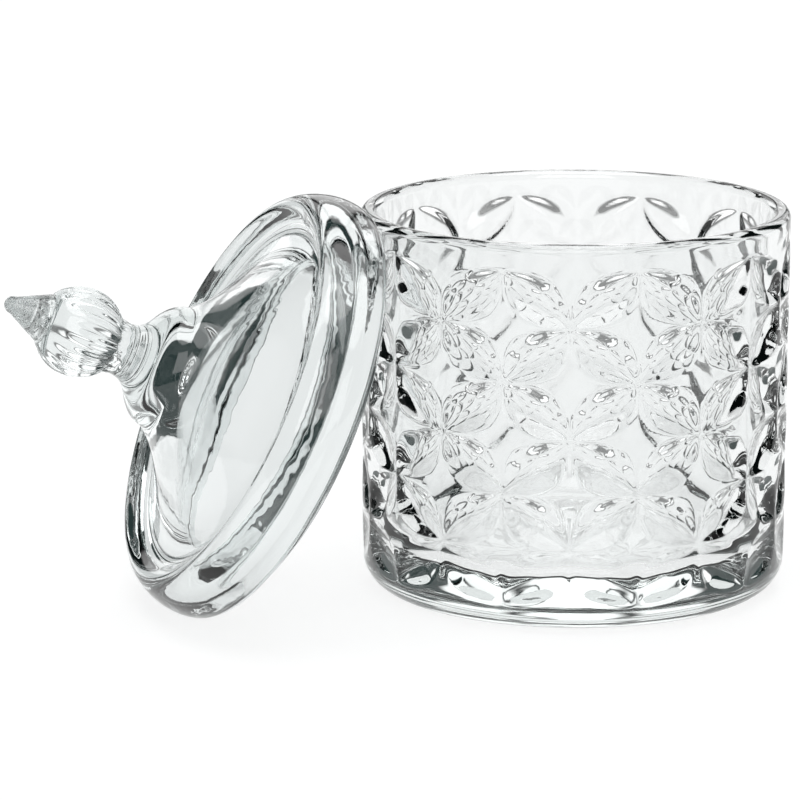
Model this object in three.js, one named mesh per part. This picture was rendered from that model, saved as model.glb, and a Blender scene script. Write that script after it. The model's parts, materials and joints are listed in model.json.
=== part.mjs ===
// Lidded dappen dish: a thick pressed-glass jar and its domed glass lid, which leans against it.
// Millimetres, +Z up.  The origin is the centre of the jar's underside, on the plane it stands on.

import * as THREE from 'three';

// Jar
const JAR_RADIUS = 37.5;          // outside, at the rim
const JAR_FOOT_RADIUS = 37.1;     // outside, just above the foot: the wall has a slight draft
const JAR_HEIGHT = 67.5;
const FOOT_CORNER = 6.0;          // rounding between the underside and the wall
const MOUTH_WALL = 3.0;           // wall at the rim, which is fully rounded
const LOWER_WALL = 4.2;           // wall just above the floor
const FLOOR_THICKNESS = 8.0;
const FLOOR_CORNER = 7.0;         // rounding between the floor and the inside wall

// Lid, in its own frame: its axis is +Z and the end face of the locating ring is at z = 0
const RING_CLEARANCE = 0.5;       // radial play of the locating ring in the jar's mouth
const RING_RADIUS = JAR_RADIUS - MOUTH_WALL - RING_CLEARANCE;
const RING_DEPTH = 1.9;
const RING_BORE = 30.0;
const HOLLOW_HEIGHT = 22.2;
const HOLLOW = [[5.0, 20.9], [9.5, 18.1], [15.5, 14.2], [23.0, 9.7], [RING_BORE, 4.2]];
const FLANGE_RADIUS = 38.6;       // the rolled edge overhangs the jar a little
const FLANGE_WIDEST = 5.4;        // height of that radius
const FLANGE_SEAT = 37.0;         // outer edge of the flat face that sits on the jar's rim
const CREST = { r: 34.4, z: 13.1 };
const VALLEY = { r: 29.9, z: 11.0 };
const BELL = { r: 11.0, z: 23.8 };
const NECK = { r: 4.6, z: 32.7 };
const BALL = { r: 7.8, z: 40.7 };
const COLLAR = { r: 4.2, z: 47.5 };
const TIP_ROUND = 1.5;
const LID_HEIGHT = 54.8;
const FLUTES = 16;
const FLUTE_DEPTH = 0.45;

// How the lid leans: turned about +Z, then laid back so that its axis rises above the horizontal
const LEAN_TURN = THREE.MathUtils.degToRad(199.9);
const LEAN_RISE = THREE.MathUtils.degToRad(25.2);
const LEAN_X = -49.42;
const LEAN_Y = -17.0;
const REST_CLEARANCE = 0.1;       // between the lid's lowest point and the surface

const SEGMENTS = 64;              // around each piece
const CURVE_STEPS = 3;            // along each curve of an outline

const glass = { color: 0xdfe6e4, roughness: 0.03, metalness: 0.0, transparent: true, opacity: 0.4 };

// Revolves an outline of (radius, height) points about +Z.
function turned(points) {
  const geometry = new THREE.LatheGeometry(points, SEGMENTS);
  geometry.rotateX(Math.PI / 2);
  return geometry;
}

function jarGeometry() {
  const draft = (JAR_RADIUS - JAR_FOOT_RADIUS) / JAR_HEIGHT;
  const rimRound = MOUTH_WALL / 2;
  const rimCentre = JAR_RADIUS - rimRound;
  const floorRadius = JAR_FOOT_RADIUS - LOWER_WALL;
  const outline = new THREE.Path();
  outline.moveTo(0, 0);
  outline.lineTo(JAR_FOOT_RADIUS - FOOT_CORNER, 0);
  outline.absarc(JAR_FOOT_RADIUS - FOOT_CORNER, FOOT_CORNER, FOOT_CORNER, -Math.PI / 2, 0);
  outline.lineTo(JAR_FOOT_RADIUS + draft * JAR_HEIGHT / 2, JAR_HEIGHT / 2);
  outline.lineTo(JAR_RADIUS, JAR_HEIGHT - rimRound);
  outline.absarc(rimCentre, JAR_HEIGHT - rimRound, rimRound, 0, Math.PI);
  outline.lineTo(floorRadius, FLOOR_THICKNESS + FLOOR_CORNER);
  outline.absarc(floorRadius - FLOOR_CORNER, FLOOR_THICKNESS + FLOOR_CORNER, FLOOR_CORNER,
    0, -Math.PI / 2, true);
  outline.lineTo(0, FLOOR_THICKNESS);
  return turned(outline.getPoints(CURVE_STEPS));
}

// The lid's outline, from its underside's centre out to the rolled edge and up to the tip.
function lidOutline() {
  const outline = new THREE.Path();
  // hollow underside: a shallow dome that follows the top at an even thickness
  outline.moveTo(0, HOLLOW_HEIGHT);
  outline.splineThru(HOLLOW.map(([r, z]) => new THREE.Vector2(r, z)));
  // locating ring and the flat seat outside it
  outline.lineTo(RING_BORE, 0);
  outline.lineTo(RING_RADIUS, 0);
  outline.lineTo(RING_RADIUS, RING_DEPTH);
  outline.lineTo(FLANGE_SEAT, RING_DEPTH);
  // rolled edge, then down into the shallow valley behind its crest
  outline.quadraticCurveTo(FLANGE_RADIUS, RING_DEPTH + 0.5, FLANGE_RADIUS, FLANGE_WIDEST);
  outline.bezierCurveTo(FLANGE_RADIUS, 8.8, 36.4, CREST.z, CREST.r, CREST.z);
  outline.bezierCurveTo(32.6, CREST.z, 31.9, VALLEY.z, VALLEY.r, VALLEY.z);
  // dome sweeping up into the bell, and the bell's shoulder drawn in to the neck
  outline.bezierCurveTo(25.2, VALLEY.z + 0.6, 13.6, 18.6, BELL.r, BELL.z);
  outline.bezierCurveTo(10.2, 28.6, 4.9, 28.0, NECK.r, NECK.z);
  // ball knob between the neck and the collar, then the blunt cone
  const neckAngle = Math.asin(NECK.r / BALL.r);
  const collarAngle = Math.asin(COLLAR.r / BALL.r);
  outline.absarc(0, BALL.z, BALL.r, neckAngle - Math.PI / 2, Math.PI / 2 - collarAngle);
  outline.lineTo(COLLAR.r, COLLAR.z);
  outline.lineTo(TIP_ROUND, LID_HEIGHT - TIP_ROUND);
  outline.absarc(0, LID_HEIGHT - TIP_ROUND, TIP_ROUND, 0, Math.PI / 2);
  return outline.getPoints(CURVE_STEPS);
}

// Presses the flutes into the ball: deepest near the neck, they fade out towards the tip.
function flute(geometry) {
  const position = geometry.getAttribute('position');
  for (let i = 0; i < position.count; i += 1) {
    const x = position.getX(i);
    const y = position.getY(i);
    const radius = Math.hypot(x, y);
    const up = (position.getZ(i) - BALL.z) / BALL.r;
    if (up > -1 && up < 1 && radius > NECK.r) {
      const fade = THREE.MathUtils.smoothstep(1 - up, 0.2, 1.2);
      const hollow = 0.5 - 0.5 * Math.cos(FLUTES * Math.atan2(y, x));
      const scale = 1 - FLUTE_DEPTH * Math.sqrt(1 - up * up) * fade * hollow / radius;
      position.setXY(i, x * scale, y * scale);
    }
  }
  return geometry;
}

function jar() {
  const mesh = new THREE.Mesh(jarGeometry(), new THREE.MeshStandardMaterial(glass));
  mesh.name = 'jar';
  return mesh;
}

function lid() {
  const outline = lidOutline();
  const mesh = new THREE.Mesh(flute(turned(outline)), new THREE.MeshStandardMaterial(glass));
  mesh.name = 'lid';
  const reachDown = outline.map((p) => p.x * Math.cos(LEAN_RISE) - p.y * Math.sin(LEAN_RISE));
  mesh.position.set(LEAN_X, LEAN_Y, Math.max(...reachDown) + REST_CLEARANCE);
  mesh.rotation.set(0, Math.PI / 2 - LEAN_RISE, LEAN_TURN, 'ZYX');
  return mesh;
}

const dish = new THREE.Group();
dish.add(jar(), lid());

export default dish;
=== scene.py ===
"""Dappen dish: a pressed-glass jar and its domed lid, which leans on the jar."""

import json
import math

import bpy
import numpy as np
from mathutils import Matrix, Vector


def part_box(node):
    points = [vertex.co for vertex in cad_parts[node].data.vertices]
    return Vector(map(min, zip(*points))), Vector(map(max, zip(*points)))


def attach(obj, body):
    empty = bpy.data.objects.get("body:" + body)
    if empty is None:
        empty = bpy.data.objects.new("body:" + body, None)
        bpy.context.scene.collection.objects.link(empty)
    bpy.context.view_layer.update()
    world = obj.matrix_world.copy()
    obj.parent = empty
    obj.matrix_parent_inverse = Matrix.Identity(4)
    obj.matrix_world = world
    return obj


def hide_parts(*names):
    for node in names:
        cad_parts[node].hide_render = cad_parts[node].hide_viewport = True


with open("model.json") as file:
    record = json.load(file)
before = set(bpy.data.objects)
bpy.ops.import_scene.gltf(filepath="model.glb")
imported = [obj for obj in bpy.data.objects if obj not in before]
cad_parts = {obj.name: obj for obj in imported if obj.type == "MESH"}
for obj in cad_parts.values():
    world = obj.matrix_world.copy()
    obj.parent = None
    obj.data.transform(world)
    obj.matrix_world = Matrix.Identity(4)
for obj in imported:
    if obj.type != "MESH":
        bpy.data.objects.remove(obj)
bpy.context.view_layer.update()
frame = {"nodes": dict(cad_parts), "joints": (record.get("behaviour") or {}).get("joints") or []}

# ---- Jar ------------------------------------------------------------------------------------
# The jar is one gob of clear soda-lime glass, pressed by a smooth plunger into a mould that has
# the petal lattice cut into its wall.  The rim is then fire-polished, which rounds it fully.

MM = 0.001
jar_low, jar_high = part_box("jar")
JAR_RADIUS = (jar_high.x - jar_low.x) / 2
JAR_HEIGHT = jar_high.z
DRAFT = 0.4 * MM                 # the foot is this much smaller in radius than the rim
FOOT_CORNER = 6.0 * MM
MOUTH_WALL = 3.0 * MM
LOWER_WALL = 4.2 * MM
FLOOR_THICKNESS = 8.0 * MM
FLOOR_CORNER = 7.0 * MM

# The lattice: petals join star points, and every other column of those is offset by a row.
COLUMNS = 20
LATTICE_TURN = math.radians(-109.0)  # where a column of the lowest star points stands
LATTICE_FOOT = 5.0 * MM          # height of the lowest row of star points
ROW = 9.65 * MM                  # from one row of star points to the next
ROWS = 6
SCOOP = 1.0 * MM                 # hollow of a petal below its edges
LOWEST_SCOOP = 0.5 * MM          # the lowest petals are shallower, as the foot turns under there
BEVEL_SLOPE = 0.3                # fall of a cell's sides towards the petals
FLAT_TOP = 0.17                  # half the width of a cell's flat top, as a share of the cell
EDGE_ROUND = 0.2 * MM            # rounding of every pressed edge
EDGE_WAYS = 8                    # directions in which it is averaged

SEGMENTS_PER_COLUMN = 26
RELIEF_STEP = 0.43 * MM          # between rings of the mesh, fine enough for the petals' edges


def arc(centre_r, centre_z, radius, start, end, steps):
    """Points of an arc, from start to end in degrees, its first point left out."""
    turns = np.radians(np.linspace(start, end, steps + 1)[1:])
    return [(centre_r + radius * math.cos(t), centre_z + radius * math.sin(t)) for t in turns]


def line(start, end, steps):
    """Evenly spaced points of a straight stretch, its first point left out."""
    return [tuple(p) for p in np.linspace(start, end, steps + 1)[1:]]


TINY = 0.001                     # keeps the scoop finite at a petal's pointed ends


def petal_lattice(turn, height):
    """Depth of the pressed lattice below the wall, at angles and heights round the jar."""
    column = (turn - LATTICE_TURN) * COLUMNS / (2 * math.pi)
    row = (height - LATTICE_FOOT) / ROW
    # Star points are the corners of lozenge cells, and a petal lies along each side of a cell.
    s, t = ((column + row) / 2) % 1, ((column - row) / 2) % 1
    cell_row = np.round(row - (s - t))
    side = math.hypot(2 * math.pi * JAR_RADIUS / COLUMNS, ROW)
    widest = math.sqrt(0.5) - 0.5
    depth = np.zeros(s.shape)
    for along, off, middle in ((s, t, 0.5), (s, 1 - t, -0.5), (t, s, -0.5), (t, 1 - s, 0.5)):
        in_pattern = np.abs(cell_row + middle - ROWS / 2) < ROWS / 2
        # Two quarter-circle arcs bound a petal, as where equal circles overlap.
        half_width = np.sqrt(np.clip(0.5 - (along - 0.5) ** 2, 0, 1)) - 0.5
        # Beside it the cell slopes down to the petal from its flat top, or from a thin ridge.
        edge_of_top = 0.5 - FLAT_TOP
        ridge = edge_of_top * np.tanh(np.minimum(along, 1 - along) / edge_of_top)
        slope = BEVEL_SLOPE * side * np.clip(ridge - np.maximum(off, half_width), 0, 1)
        cut = np.where(cell_row + middle < 1, LOWEST_SCOOP, SCOOP)
        scoop = cut * np.clip(half_width ** 2 - off ** 2, 0, 1) / (widest * (half_width + TINY))
        depth = np.maximum(depth, np.where(in_pattern, slope + scoop, 0))
    return depth


def polished_lattice(turn, height):
    """The lattice with every edge rounded off, as the fire-polished glass has it."""
    depth = petal_lattice(turn, height)
    for way in np.arange(EDGE_WAYS) * 2 * math.pi / EDGE_WAYS:
        across, up = EDGE_ROUND * math.cos(way), EDGE_ROUND * math.sin(way)
        depth = depth + petal_lattice(turn + across / JAR_RADIUS, height + up)
    return depth / (EDGE_WAYS + 1)


def turned_mesh(name, outline, turns, depth_at=None):
    """A closed solid turned about +Z from an outline that starts and ends on the axis."""
    outline = np.array(outline)
    ahead = np.roll(outline, -1, axis=0) - outline
    behind = outline - np.roll(outline, 1, axis=0)
    ahead[-1], behind[0] = behind[-1], ahead[0]
    run = ahead / np.linalg.norm(ahead, axis=1)[:, None]
    run = run + behind / np.linalg.norm(behind, axis=1)[:, None]
    run /= np.linalg.norm(run, axis=1)[:, None]
    angles = np.linspace(0, 2 * math.pi, turns, endpoint=False)
    rings = outline[1:-1]
    radius = np.repeat(rings[:, :1], turns, axis=1)
    height = np.repeat(rings[:, 1:], turns, axis=1)
    if depth_at is not None:
        turn = np.repeat(angles[None, :], len(rings), axis=0)
        depth = depth_at(turn, height, np.arange(1, len(outline) - 1)[:, None])
        radius = radius - depth * run[1:-1, 1:]
        height = height + depth * run[1:-1, :1]
    points = np.stack([radius * np.cos(angles), radius * np.sin(angles), height], -1).reshape(-1, 3)
    first, last = len(points), len(points) + 1
    points = np.vstack([points, [0, 0, outline[0, 1]], [0, 0, outline[-1, 1]]])
    step = np.arange(turns)
    after = (step + 1) % turns
    base = (np.arange(len(rings) - 1) * turns)[:, None]
    quads = np.stack([base + step, base + after, base + turns + after, base + turns + step], -1)
    top = (len(rings) - 1) * turns
    faces = quads.reshape(-1, 4).tolist()
    faces += [[first, b, a] for a, b in zip(step.tolist(), after.tolist())]
    faces += [[last, top + a, top + b] for a, b in zip(step.tolist(), after.tolist())]
    mesh = bpy.data.meshes.new(name)
    mesh.from_pydata(points.tolist(), [], faces)
    mesh.shade_smooth()
    piece = bpy.data.objects.new(name, mesh)
    bpy.context.scene.collection.objects.link(piece)
    return piece


def jar_outline():
    """Outline of the jar from the middle of its underside to the middle of its floor."""
    foot_radius = JAR_RADIUS - DRAFT
    rim_round = MOUTH_WALL / 2
    rim_z = JAR_HEIGHT - rim_round
    floor_radius = foot_radius - LOWER_WALL
    corner_z = FLOOR_THICKNESS + FLOOR_CORNER
    points = [(0, 0)]
    points += line((0, 0), (foot_radius - FOOT_CORNER, 0), steps=3)
    points += arc(foot_radius - FOOT_CORNER, FOOT_CORNER, FOOT_CORNER, -90, 0, steps=14)
    wall_steps = round((rim_z - FOOT_CORNER) / RELIEF_STEP)
    points += line((foot_radius, FOOT_CORNER), (JAR_RADIUS, rim_z), wall_steps)
    points += arc(JAR_RADIUS - rim_round, rim_z, rim_round, 0, 180, steps=12)
    points += line((JAR_RADIUS - MOUTH_WALL, rim_z), (floor_radius, corner_z), steps=4)
    points += arc(floor_radius - FLOOR_CORNER, corner_z, FLOOR_CORNER, 0, -90, steps=8)
    points += line((floor_radius - FLOOR_CORNER, FLOOR_THICKNESS), (0, FLOOR_THICKNESS), steps=3)
    return points


jar_points = jar_outline()
RIM_ROW = int(np.argmax([z for r, z in jar_points]))


def jar_depth(turn, height, row):
    """The lattice is only on the outside, which is the outline's part before the rim's top."""
    return np.where(row < RIM_ROW, polished_lattice(turn, height), 0)


jar = turned_mesh("jar_glass", jar_points, COLUMNS * SEGMENTS_PER_COLUMN, jar_depth)


def linear(hex_colour):
    """An sRGB hex colour as linear RGBA."""
    parts = [int(hex_colour[i:i + 2], 16) / 255 for i in (1, 3, 5)]
    return [c / 12.92 if c <= 0.04045 else ((c + 0.055) / 1.055) ** 2.4 for c in parts] + [1.0]


def add(tree, kind, settings=(), links=()):
    """Adds a node, sets its properties and input values, and links its inputs."""
    node = tree.nodes.new(kind)
    for name, value in dict(settings).items():
        if isinstance(name, int) or name in node.inputs:
            node.inputs[name].default_value = value
        else:
            setattr(node, name, value)
    for name, source in dict(links).items():
        tree.links.new(source, node.inputs[name])
    return node


RIPPLE_WIDTH = 5 * MM
GLASS_IOR = 1.52
TINT_DENSITY = 4.0               # a wall hardly shows the tint, and the thick base does


def pressed_soda_lime_glass(name, clarity, ripple_depth):
    """Clear pressed glass: sharp gloss, a faint green tint that grows with thickness, and the
    slow ripple that the cooling skin leaves on a fire-polished surface."""
    material = bpy.data.materials.new(name)
    material.use_nodes = True
    tree = material.node_tree
    tree.nodes.clear()
    place = add(tree, "ShaderNodeTexCoord")
    ripple = add(tree, "ShaderNodeTexNoise", {"Scale": 1 / RIPPLE_WIDTH, "Detail": 2.0},
                 {"Vector": place.outputs["Object"]})
    bump = add(tree, "ShaderNodeBump", {"Strength": 1.0, "Distance": ripple_depth},
               {"Height": ripple.outputs["Fac"]})
    glass = add(tree, "ShaderNodeBsdfPrincipled",
                {"Base Color": linear(clarity), "Roughness": 0.0, "IOR": GLASS_IOR,
                 "Transmission Weight": 1.0},
                {"Normal": bump.outputs["Normal"]})
    tint = add(tree, "ShaderNodeVolumeAbsorption",
               {"Color": linear("#c3d6d1"), "Density": TINT_DENSITY})
    add(tree, "ShaderNodeOutputMaterial", {},
        {"Surface": glass.outputs["BSDF"], "Volume": tint.outputs["Volume"]})
    return material


jar_glass = pressed_soda_lime_glass("pressed_soda_lime_glass", "#f6f7f7", ripple_depth=0.018 * MM)
jar.data.materials.append(jar_glass)
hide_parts("jar")
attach(jar, "jar")

# ---- Lid ------------------------------------------------------------------------------------
# The lid is one pressed piece of clear glass too: a locating ring that drops into the mouth, a
# rolled edge, a shallow valley, and a hollow dome that sweeps up to a bell, a fluted ball knob
# and a blunt cone.  It leans on the jar, loose.

RING_PLAY = 0.5 * MM             # between the locating ring and the jar's mouth
RING_RADIUS = JAR_RADIUS - MOUTH_WALL - RING_PLAY
RING_DEPTH = 1.9 * MM
RING_BORE = 30.0 * MM
HOLLOW_HEIGHT = 22.2 * MM
FLANGE_RADIUS = 38.48 * MM
FLANGE_WIDEST = 5.4 * MM
FLANGE_SEAT = 37.0 * MM
CREST = (34.4 * MM, 13.1 * MM)
VALLEY = (29.9 * MM, 11.0 * MM)
BELL = (11.0 * MM, 23.8 * MM)
NECK = (4.6 * MM, 32.7 * MM)
BALL_RADIUS = 7.8 * MM
BALL_HEIGHT = 40.7 * MM
COLLAR = (4.2 * MM, 47.5 * MM)
TIP_ROUND = 1.5 * MM
LID_HEIGHT = 54.8 * MM
FLUTES = 16
FLUTE_DEPTH = 0.45 * MM
LID_SEGMENTS = 320


def bezier(corners, steps):
    """Points of a Bezier curve between the first and last corner, its first point left out."""
    ways = np.array(corners, float)
    found = []
    for share in np.linspace(0, 1, steps + 1)[1:]:
        hull = ways
        while len(hull) > 1:
            hull = hull[:-1] * (1 - share) + hull[1:] * share
        found.append(tuple(hull[0]))
    return found


RING_ROUND = 0.5 * MM            # rounding of the ring's outer edge
BORE_ROUND = 1.4 * MM            # and of its inner one


def lid_outline():
    """Outline of the lid from the top of its hollow, out over the rolled edge, to the tip."""
    hollow_bend = (15.5 * MM, 14.2 * MM)
    points = [(0, HOLLOW_HEIGHT)]
    points += bezier([points[-1], (5 * MM, HOLLOW_HEIGHT), (8 * MM, 18.6 * MM), hollow_bend], 14)
    hollow_foot = (RING_BORE, 4.2 * MM)
    points += bezier([hollow_bend, (20.5 * MM, 11.3 * MM), (26.5 * MM, 7.8 * MM), hollow_foot], 14)
    points += line(points[-1], (RING_BORE, BORE_ROUND), 3)
    points += bezier([points[-1], (RING_BORE, 0), (RING_BORE + BORE_ROUND, 0)], 5)
    points += line(points[-1], (RING_RADIUS - RING_ROUND, 0), 3)
    points += bezier([points[-1], (RING_RADIUS, 0), (RING_RADIUS, RING_ROUND)], 3)
    points += line(points[-1], (RING_RADIUS, RING_DEPTH), 2)
    points += line(points[-1], (FLANGE_SEAT, RING_DEPTH), 3)
    widest = (FLANGE_RADIUS, FLANGE_WIDEST)
    points += bezier([points[-1], (FLANGE_RADIUS, RING_DEPTH + RING_ROUND), widest], 10)
    points += bezier([widest, (FLANGE_RADIUS, 8.8 * MM), (36.4 * MM, CREST[1]), CREST], 16)
    points += bezier([CREST, (32.6 * MM, CREST[1]), (31.9 * MM, VALLEY[1]), VALLEY], 12)
    points += bezier([VALLEY, (25.2 * MM, 11.6 * MM), (13.6 * MM, 18.6 * MM), BELL], 28)
    points += bezier([BELL, (10.2 * MM, 28.6 * MM), (4.9 * MM, 28.0 * MM), NECK], 20)
    neck_angle = math.degrees(math.asin(NECK[0] / BALL_RADIUS))
    collar_angle = math.degrees(math.asin(COLLAR[0] / BALL_RADIUS))
    points += arc(0, BALL_HEIGHT, BALL_RADIUS, neck_angle - 90, 90 - collar_angle, 36)
    points += line(points[-1], COLLAR, 2)
    points += line(COLLAR, (TIP_ROUND, LID_HEIGHT - TIP_ROUND), 12)
    points += arc(0, LID_HEIGHT - TIP_ROUND, TIP_ROUND, 0, 90, 6)
    return points


def smooth(share):
    """Eases a value from 0 to 1."""
    share = np.clip(share, 0, 1)
    return share ** 2 * (3 - 2 * share)


FLUTE_END = 0.8                  # height on the ball where the flutes end, in ball radii


def flute_depth(turn, height, row):
    """Hollow flutes on the ball, deepest near the neck and gone before the collar."""
    up = (height - BALL_HEIGHT) / BALL_RADIUS
    belly = np.sqrt(np.clip(1 - up ** 2, 0, 1))
    hollow = 0.5 - 0.5 * np.cos(FLUTES * turn)
    return FLUTE_DEPTH * belly * smooth(FLUTE_END - up) * hollow


lid = turned_mesh("lid_glass", lid_outline(), LID_SEGMENTS, flute_depth)
# The mesh is stood along the lid's axis, with its tip where the CAD solid has it.
lid_axis = Vector(frame["joints"][0]["axis"]).normalized()
reaches = {v.co.dot(lid_axis): Vector(v.co) for v in frame["nodes"]["lid"].data.vertices}
lid_length = max(reaches) - min(reaches)
lid_tip = reaches[max(reaches)]
lean = lid_axis.to_track_quat("Z", "Y").to_matrix().to_4x4()
lid.data.transform(Matrix.Translation(lid_tip - lid_axis * lid_length) @ lean)

GRAIN_WIDTH = 0.8 * MM           # drawn coarser than a mould's real grain, so that it shows
GRAIN_EDGE = (0.45, 0.6)         # noise values where a smooth patch ends and a rough one starts
GRAIN_ROUGHNESS = (0.12, 0.45)   # of the two kinds of patch
COLLAR_BLEND = 0.5 * MM


def frost_cone(material):
    """The cone keeps the grain of the mould's end, which makes it a soft, speckled grey."""
    tree = material.node_tree
    place = add(tree, "ShaderNodeTexCoord")
    rise = add(tree, "ShaderNodeVectorMath", {"operation": "DOT_PRODUCT", 1: lid_axis},
               {0: place.outputs["Object"]})
    grain = add(tree, "ShaderNodeTexNoise", {"Scale": 1 / GRAIN_WIDTH, "Detail": 2.0},
                {"Vector": place.outputs["Object"]})
    patches = add(tree, "ShaderNodeMapRange",
                  {"From Min": GRAIN_EDGE[0], "From Max": GRAIN_EDGE[1],
                   "To Min": GRAIN_ROUGHNESS[0], "To Max": GRAIN_ROUGHNESS[1]},
                  {"Value": grain.outputs["Fac"]})
    collar = lid_tip.dot(lid_axis) - (LID_HEIGHT - COLLAR[1])
    on_cone = add(tree, "ShaderNodeMapRange",
                  {"From Min": collar - COLLAR_BLEND, "From Max": collar + COLLAR_BLEND},
                  {"Value": rise.outputs["Value"], "To Max": patches.outputs["Result"]})
    surface = next(node for node in tree.nodes if node.type == "BSDF_PRINCIPLED")
    tree.links.new(on_cone.outputs["Result"], surface.inputs["Roughness"])


# The lid's glass is a little greyer and more rippled than the jar's.
lid_glass = pressed_soda_lime_glass("rippled_soda_lime_glass", "#ecefef", ripple_depth=0.05 * MM)
frost_cone(lid_glass)
lid.data.materials.append(lid_glass)
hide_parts("lid")
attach(lid, "lid")

# ---- Floor ----------------------------------------------------------------------------------
# A wide sheet of matt white acrylic with painted light: an emission in the sheet stands in for a
# lamp under a product table, so that it stays pale right up to the horizon.

FLOOR_HALF = 12.0
FLOOR_DROP = 0.05 * MM           # keeps the sheet's face clear of the jar's
# The glow is painted light, an emission that stands in for a lamp under the sheet; its fade far out
# is a painted falloff of that light.
GLOW = 0.82                      # with the light that falls on it, this makes a full white
GLOW_NEAR = 1.2                  # metres from the middle up to which the glow is even
GLOW_FAR = 2.6                   # and where it has faded
FAR_GLOW = 0.4

floor_mesh = bpy.data.meshes.new("floor")
floor_corners = [(x * FLOOR_HALF, y * FLOOR_HALF, 0) for x, y in ((-1, -1), (1, -1), (1, 1), (-1, 1))]
floor_mesh.from_pydata(floor_corners, [], [(0, 1, 2, 3)])
floor = bpy.data.objects.new("floor", floor_mesh)
bpy.context.scene.collection.objects.link(floor)
floor.location.z = -FLOOR_DROP


def white_acrylic_painted_glow():
    """Opal acrylic sheet: it reflects little and has no gloss, and a painted glow, an emission that
    stands in for a lamp beneath it, makes it an even white, fading far away from the table's middle."""
    material = bpy.data.materials.new("white_acrylic_painted_glow")
    material.use_nodes = True
    tree = material.node_tree
    sheet = tree.nodes["Principled BSDF"]
    sheet.inputs["Base Color"].default_value = linear("#8c8d8d")
    sheet.inputs["Roughness"].default_value = 0.9
    sheet.inputs["Specular IOR Level"].default_value = 0.0
    sheet.inputs["Emission Color"].default_value = linear("#ffffff")
    place = add(tree, "ShaderNodeTexCoord")
    reach = add(tree, "ShaderNodeVectorMath", {"operation": "LENGTH"}, {0: place.outputs["Object"]})
    # Painted light: the emission is even out to GLOW_NEAR and fades to FAR_GLOW by GLOW_FAR.
    glow = add(tree, "ShaderNodeMapRange",
               {"From Min": GLOW_NEAR, "From Max": GLOW_FAR, "To Min": GLOW, "To Max": FAR_GLOW},
               {"Value": reach.outputs["Value"]})
    tree.links.new(glow.outputs["Result"], sheet.inputs["Emission Strength"])
    return material


floor_mesh.materials.append(white_acrylic_painted_glow())

# ---- Studio light ---------------------------------------------------------------------------
# White panels stand round the table with dark gaps between them, and a soft box hangs above, so
# that clear glass shows its edges: it bends the gaps into dark lines.

GAP_TONE = (0.028, 0.045, 0.044)
PANEL_EDGE = 2.0                 # degrees over which a panel's edge fades
# Each panel: azimuth, half width, bottom and top in degrees, and radiance.
PANELS = (
    (90, 30, -5, 3.5, 0.3),      # the dim foot of the three back panels
    (90, 9.5, 3.5, 48, 1.4),
    (68.5, 8.5, 3.5, 44, 1.3),
    (111.5, 8.5, 3.5, 44, 1.3),
    (270, 24, 15, 50, 2.5),      # behind the viewer, for the gloss
    (0, 14, 5, 45, 0.3),
    (180, 14, 5, 45, 0.3),
    (0, 360, 65, 95, 3.0),       # the soft box overhead
)


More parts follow.
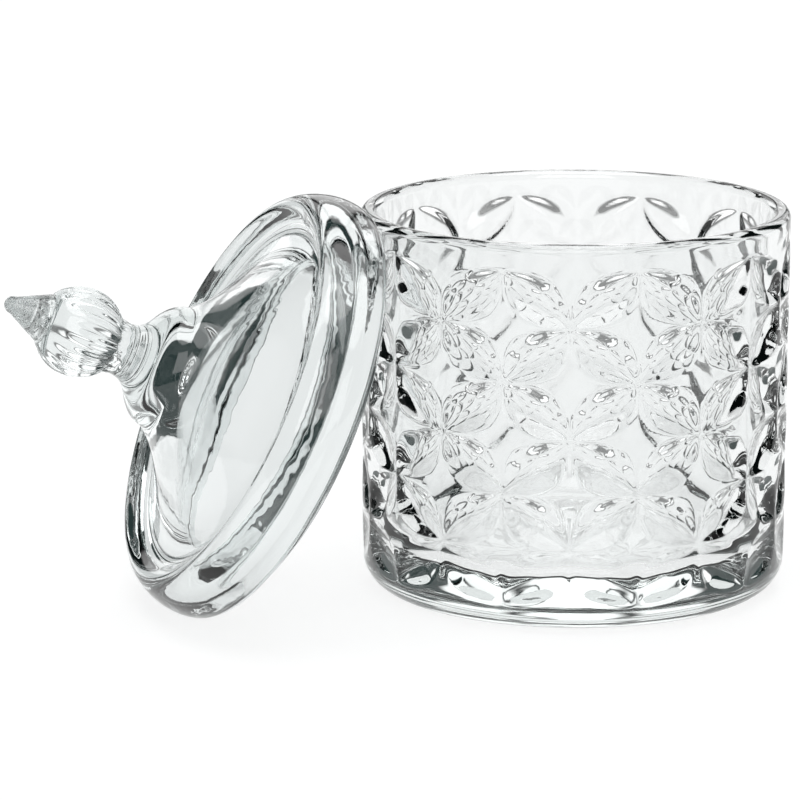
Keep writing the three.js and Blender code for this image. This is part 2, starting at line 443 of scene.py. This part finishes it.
def studio_world():
    """The panels, worked out from the direction that a ray leaves in."""
    world = bpy.data.worlds.new("studio")
    bpy.context.scene.world = world
    world.use_nodes = True
    tree = world.node_tree
    tree.nodes.clear()
    place = add(tree, "ShaderNodeTexCoord")
    parts = add(tree, "ShaderNodeSeparateXYZ", {}, {"Vector": place.outputs["Generated"]})
    turn = add(tree, "ShaderNodeMath", {"operation": "ARCTAN2"},
               {0: parts.outputs["Y"], 1: parts.outputs["X"]})
    rise = add(tree, "ShaderNodeMath", {"operation": "ARCSINE"}, {0: parts.outputs["Z"]})
    total = add(tree, "ShaderNodeValue")
    total.outputs[0].default_value = 0.0
    for azimuth, half_width, bottom, top, radiance in PANELS:
        away = add(tree, "ShaderNodeMath", {"operation": "SUBTRACT", 1: math.radians(azimuth)},
                   {0: turn.outputs[0]})
        away = add(tree, "ShaderNodeMath", {"operation": "WRAP", 1: math.pi, 2: -math.pi},
                   {0: away.outputs[0]})
        away = add(tree, "ShaderNodeMath", {"operation": "ABSOLUTE"}, {0: away.outputs[0]})
        lit = add(tree, "ShaderNodeValue")
        lit.outputs[0].default_value = radiance
        # Each edge goes from dark to lit, between the two angles given.
        for angle, dark, bright in ((away, half_width + PANEL_EDGE, half_width - PANEL_EDGE),
                                    (rise, bottom - PANEL_EDGE, bottom + PANEL_EDGE),
                                    (rise, top + PANEL_EDGE, top - PANEL_EDGE)):
            edge = add(tree, "ShaderNodeMapRange",
                       {"interpolation_type": "SMOOTHSTEP",
                        "From Min": math.radians(dark), "From Max": math.radians(bright)},
                       {"Value": angle.outputs[0]})
            lit = add(tree, "ShaderNodeMath", {"operation": "MULTIPLY"},
                      {0: lit.outputs[0], 1: edge.outputs["Result"]})
        total = add(tree, "ShaderNodeMath", {"operation": "MAXIMUM"},
                    {0: total.outputs[0], 1: lit.outputs[0]})
    tone = add(tree, "ShaderNodeCombineColor")
    for channel, gap in zip(("Red", "Green", "Blue"), GAP_TONE):
        floor_of_tone = add(tree, "ShaderNodeMath", {"operation": "MAXIMUM", 1: gap},
                            {0: total.outputs[0]})
        tree.links.new(floor_of_tone.outputs[0], tone.inputs[channel])
    back = add(tree, "ShaderNodeBackground", {"Strength": 1.0}, {"Color": tone.outputs["Color"]})
    add(tree, "ShaderNodeOutputWorld", {}, {"Surface": back.outputs["Background"]})


studio_world()
# The plain view keeps the lit sheet white.
bpy.context.scene.view_settings.view_transform = "Standard"

# ---- Camera ---------------------------------------------------------------------------------
# A long lens from a little above the rim, square on to the jar.

CAMERA_BACK = 23.32 * JAR_RADIUS
CAMERA_UP = 6.0886 * JAR_RADIUS
LOOK_DOWN = 12.609               # degrees
LOOK_LEFT = 2.001
FILM_WIDTH = 36.0                # millimetres, as is the lens
LENS = 229.5

camera_data = bpy.data.cameras.new("camera")
camera_data.sensor_width = FILM_WIDTH
camera_data.lens = LENS
camera = bpy.data.objects.new("camera", camera_data)
camera.location = (0, -CAMERA_BACK, CAMERA_UP)
camera.rotation_euler = (math.radians(90 - LOOK_DOWN), 0, math.radians(LOOK_LEFT))
bpy.context.scene.collection.objects.link(camera)
bpy.context.scene.camera = camera
